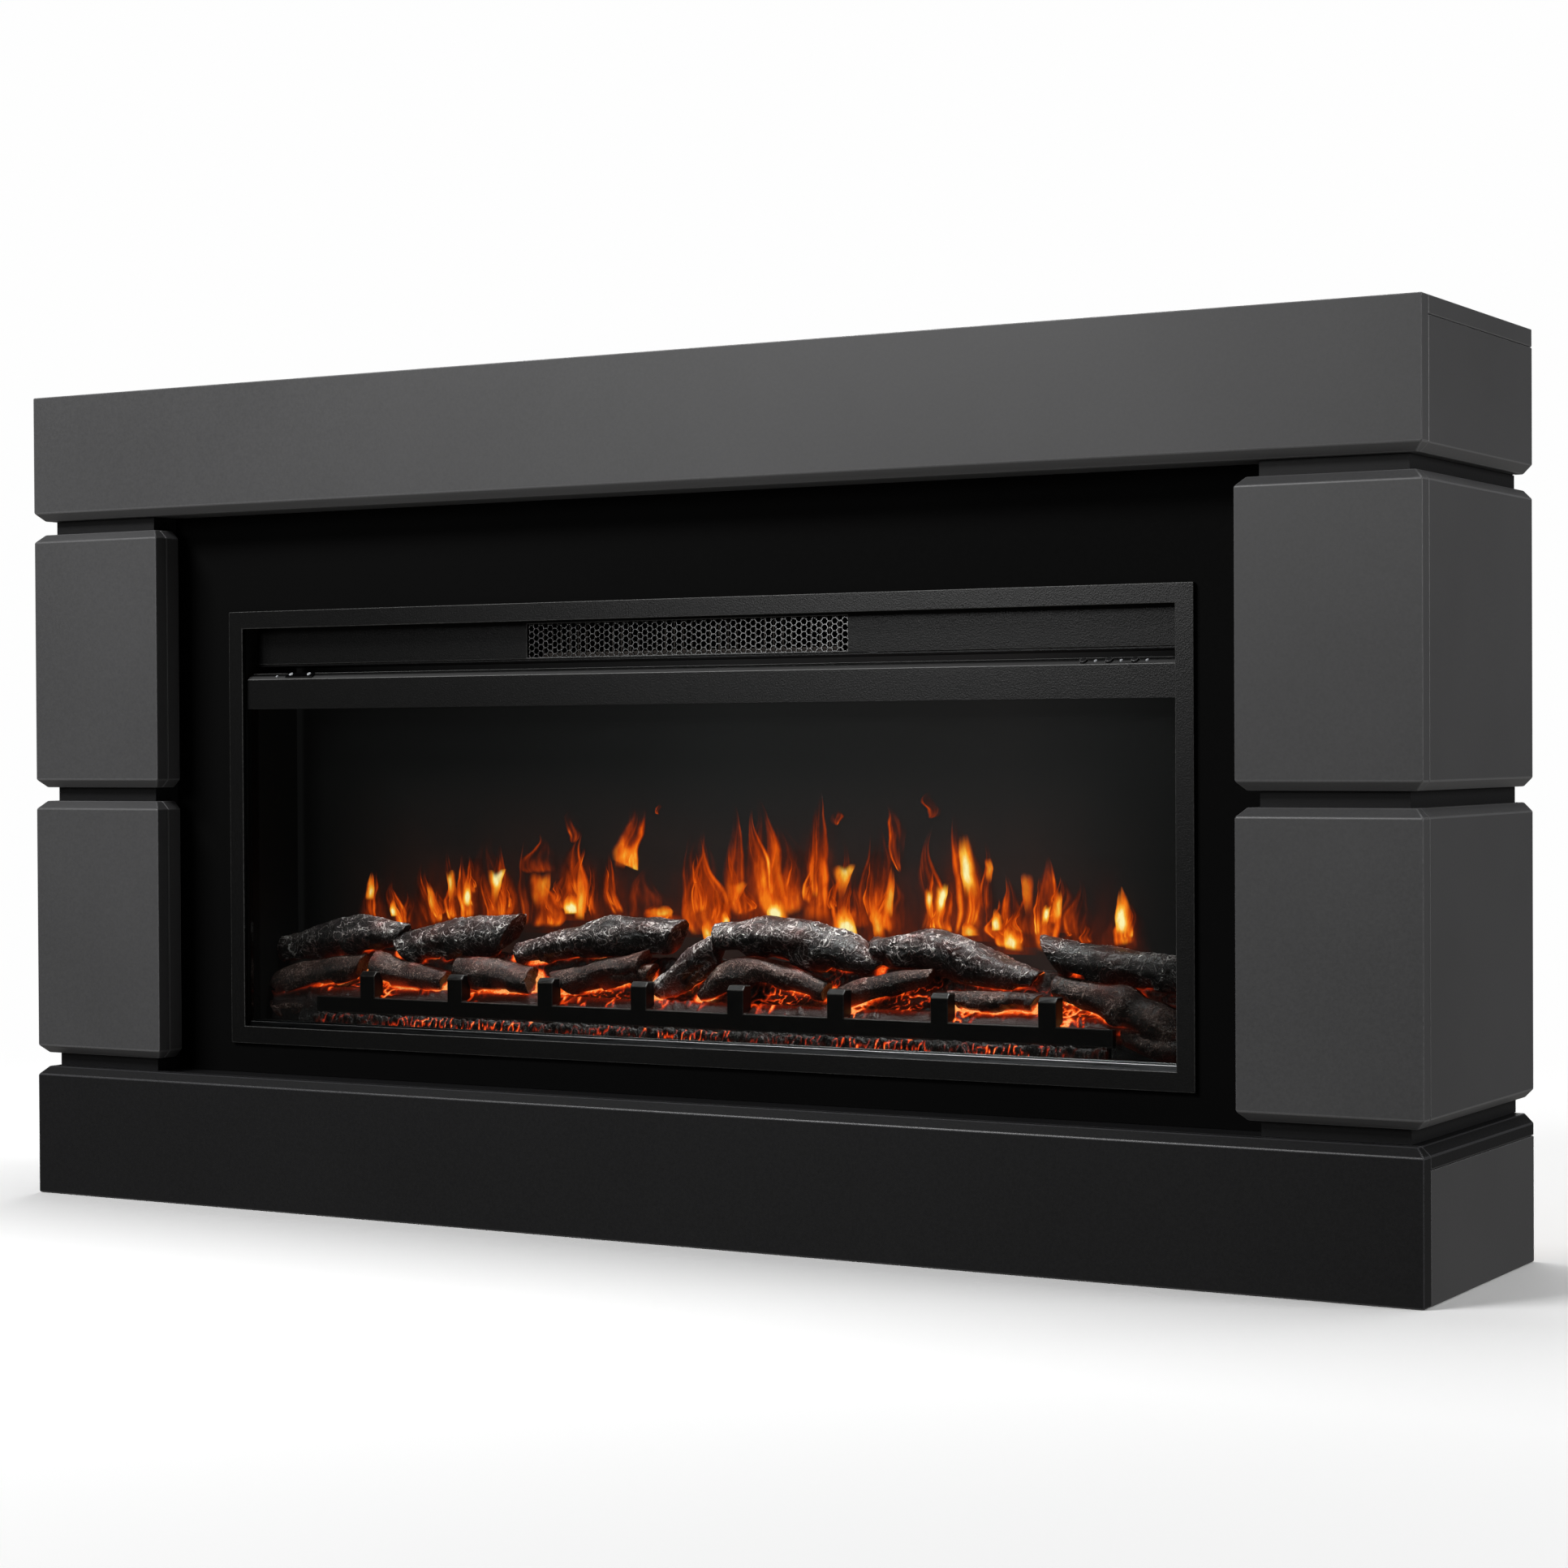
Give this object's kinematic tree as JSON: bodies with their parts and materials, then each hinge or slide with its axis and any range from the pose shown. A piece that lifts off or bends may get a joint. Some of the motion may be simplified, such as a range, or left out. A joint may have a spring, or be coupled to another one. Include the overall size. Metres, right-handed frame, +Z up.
{
  "type": "electric fireplace",
  "caption": "Free-standing electric fireplace: board surround with plinth, banded block columns and mantel round a wide firebox with flame screen, log set, grate and fan heater.",
  "frame": {"origin": "centre of the footprint, on the floor", "axes": "+X to the right of someone facing it, +Y towards the wall behind it, +Z up; the fire faces -Y"},
  "size_m": [1.5, 0.288, 0.825],
  "materials": {
    "graphite_board": "satin graphite paint on board",
    "black_board": "matt black paint on board",
    "black_steel": "satin black powder coat",
    "bright_steel": "bare brushed steel",
    "aluminium": "mill finish",
    "clear_glass": "clear toughened glass",
    "smoked_screen": "smoked diffusing screen",
    "log_resin": "moulded charred bark, translucent where thin",
    "grate_plastic": "moulded black",
    "gloss_plastic": "gloss black",
    "circuit_board": "lacquered laminate"
  },
  "bodies": {
    "fireplace": {"plinth_front_board": "graphite_board", "plinth_top_board": "graphite_board", "plinth_side_left": "graphite_board", "plinth_side_right": "graphite_board", "mantel_front_board": "graphite_board", "mantel_shelf": "graphite_board", "mantel_side_left": "graphite_board", "mantel_side_right": "graphite_board", "left_lower_block_front": "graphite_board", "left_lower_block_outer": "graphite_board", "left_lower_block_inner": "graphite_board", "left_upper_block_front": "graphite_board", "left_upper_block_outer": "graphite_board", "left_upper_block_inner": "graphite_board", "right_lower_block_front": "graphite_board", "right_lower_block_outer": "graphite_board", "right_lower_block_inner": "graphite_board", "right_upper_block_front": "graphite_board", "right_upper_block_outer": "graphite_board", "right_upper_block_inner": "graphite_board", "plinth_bottom_board": "black_board", "plinth_back_rail": "black_board", "mantel_soffit": "black_board", "mantel_back_rail": "black_board", "column_core_left": "black_board", "column_core_right": "black_board", "facing_panel": "black_board", "trim_frame": "black_steel", "casing_bottom": "black_steel", "casing_top": "black_steel", "casing_side_left": "black_steel", "casing_side_right": "black_steel", "casing_back": "black_steel", "heater_shelf": "black_steel", "heater_fascia": "black_steel", "outlet_grille": "black_steel", "hood_bar": "black_steel", "bed_tray": "black_steel", "blower_housing": "black_steel", "glass_channel": "bright_steel", "blower_motor": "bright_steel", "flicker_motor": "bright_steel", "heating_element": "aluminium", "front_glass": "clear_glass", "flame_screen": "smoked_screen", "log_set": "log_resin", "ember_strip": "log_resin", "grate": "grate_plastic", "rod_bearing": "grate_plastic", "cord_inlet": "grate_plastic", "receiver_window": "gloss_plastic", "control_board": "circuit_board", "button_board": "circuit_board", "led_strip": "circuit_board", "flame_lamps": "circuit_board"},
    "blower": {"blower_wheel": "aluminium"},
    "flicker": {"flicker_rod": "aluminium"},
    "button_1_body": {"button_1": "gloss_plastic"},
    "button_2_body": {"button_2": "gloss_plastic"},
    "button_3_body": {"button_3": "gloss_plastic"}
  },
  "joints": [
    {"name": "blower_spin", "type": "hinge", "parent": "fireplace", "child": "blower", "pos_m": [0, -0.0165, 0.5688], "axis": [1, 0, 0], "continuous": true},
    {"name": "flicker_spin", "type": "hinge", "parent": "fireplace", "child": "flicker", "pos_m": [0, 0.032, 0.219], "axis": [1, 0, 0], "continuous": true},
    {"name": "button_1_press", "type": "slide", "parent": "fireplace", "child": "button_1_body", "axis": [0, 0.5767, -0.817], "range_m": [0, 0.0012], "stiffness_N_per_m": 600},
    {"name": "button_2_press", "type": "slide", "parent": "fireplace", "child": "button_2_body", "axis": [0, 0.5767, -0.817], "range_m": [0, 0.0012], "stiffness_N_per_m": 600},
    {"name": "button_3_press", "type": "slide", "parent": "fireplace", "child": "button_3_body", "axis": [0, 0.5767, -0.817], "range_m": [0, 0.0012], "stiffness_N_per_m": 600}
  ]
}
